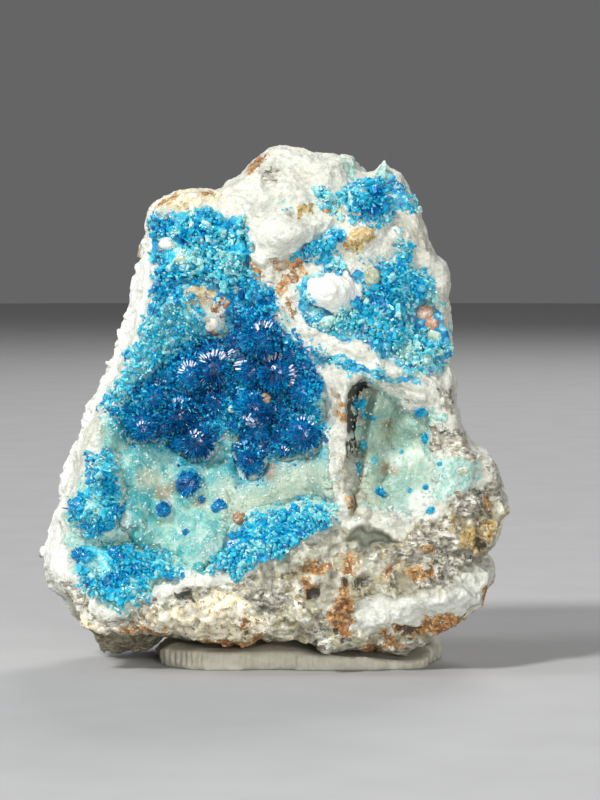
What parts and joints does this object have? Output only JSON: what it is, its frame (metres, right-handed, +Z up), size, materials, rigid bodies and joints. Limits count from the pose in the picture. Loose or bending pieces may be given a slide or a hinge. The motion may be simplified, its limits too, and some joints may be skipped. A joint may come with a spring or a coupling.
{
  "type": "mineral specimen",
  "caption": "Blue veszelyite crystals and pale aqua druse in the hollows of a white altered rock, standing upright on a pad of putty.",
  "frame": {"origin": "centre of the footprint of the whole, on the surface that the putty pad rests on", "axes": "+Z up along the specimen's height, +X to the right of the crystal face, -Y out of the crystal face"},
  "size_m": [0.0364, 0.0226, 0.0404],
  "materials": {
    "rock": "rough",
    "aqua_druse": "satin",
    "blue_crystal": "gloss",
    "putty": "matte"
  },
  "bodies": {
    "root": {"matrix": "rock", "druse_main": "aqua_druse", "druse_left": "aqua_druse", "druse_right": "aqua_druse", "veszelyite_main": "blue_crystal", "veszelyite_upper_left": "blue_crystal", "veszelyite_curl": "blue_crystal", "veszelyite_lower_left": "blue_crystal", "veszelyite_lower_middle": "blue_crystal", "veszelyite_upper_right": "blue_crystal", "veszelyite_top_right": "blue_crystal", "veszelyite_top_patch": "blue_crystal", "veszelyite_streak": "blue_crystal", "putty_pad": "putty"}
  },
  "joints": []
}
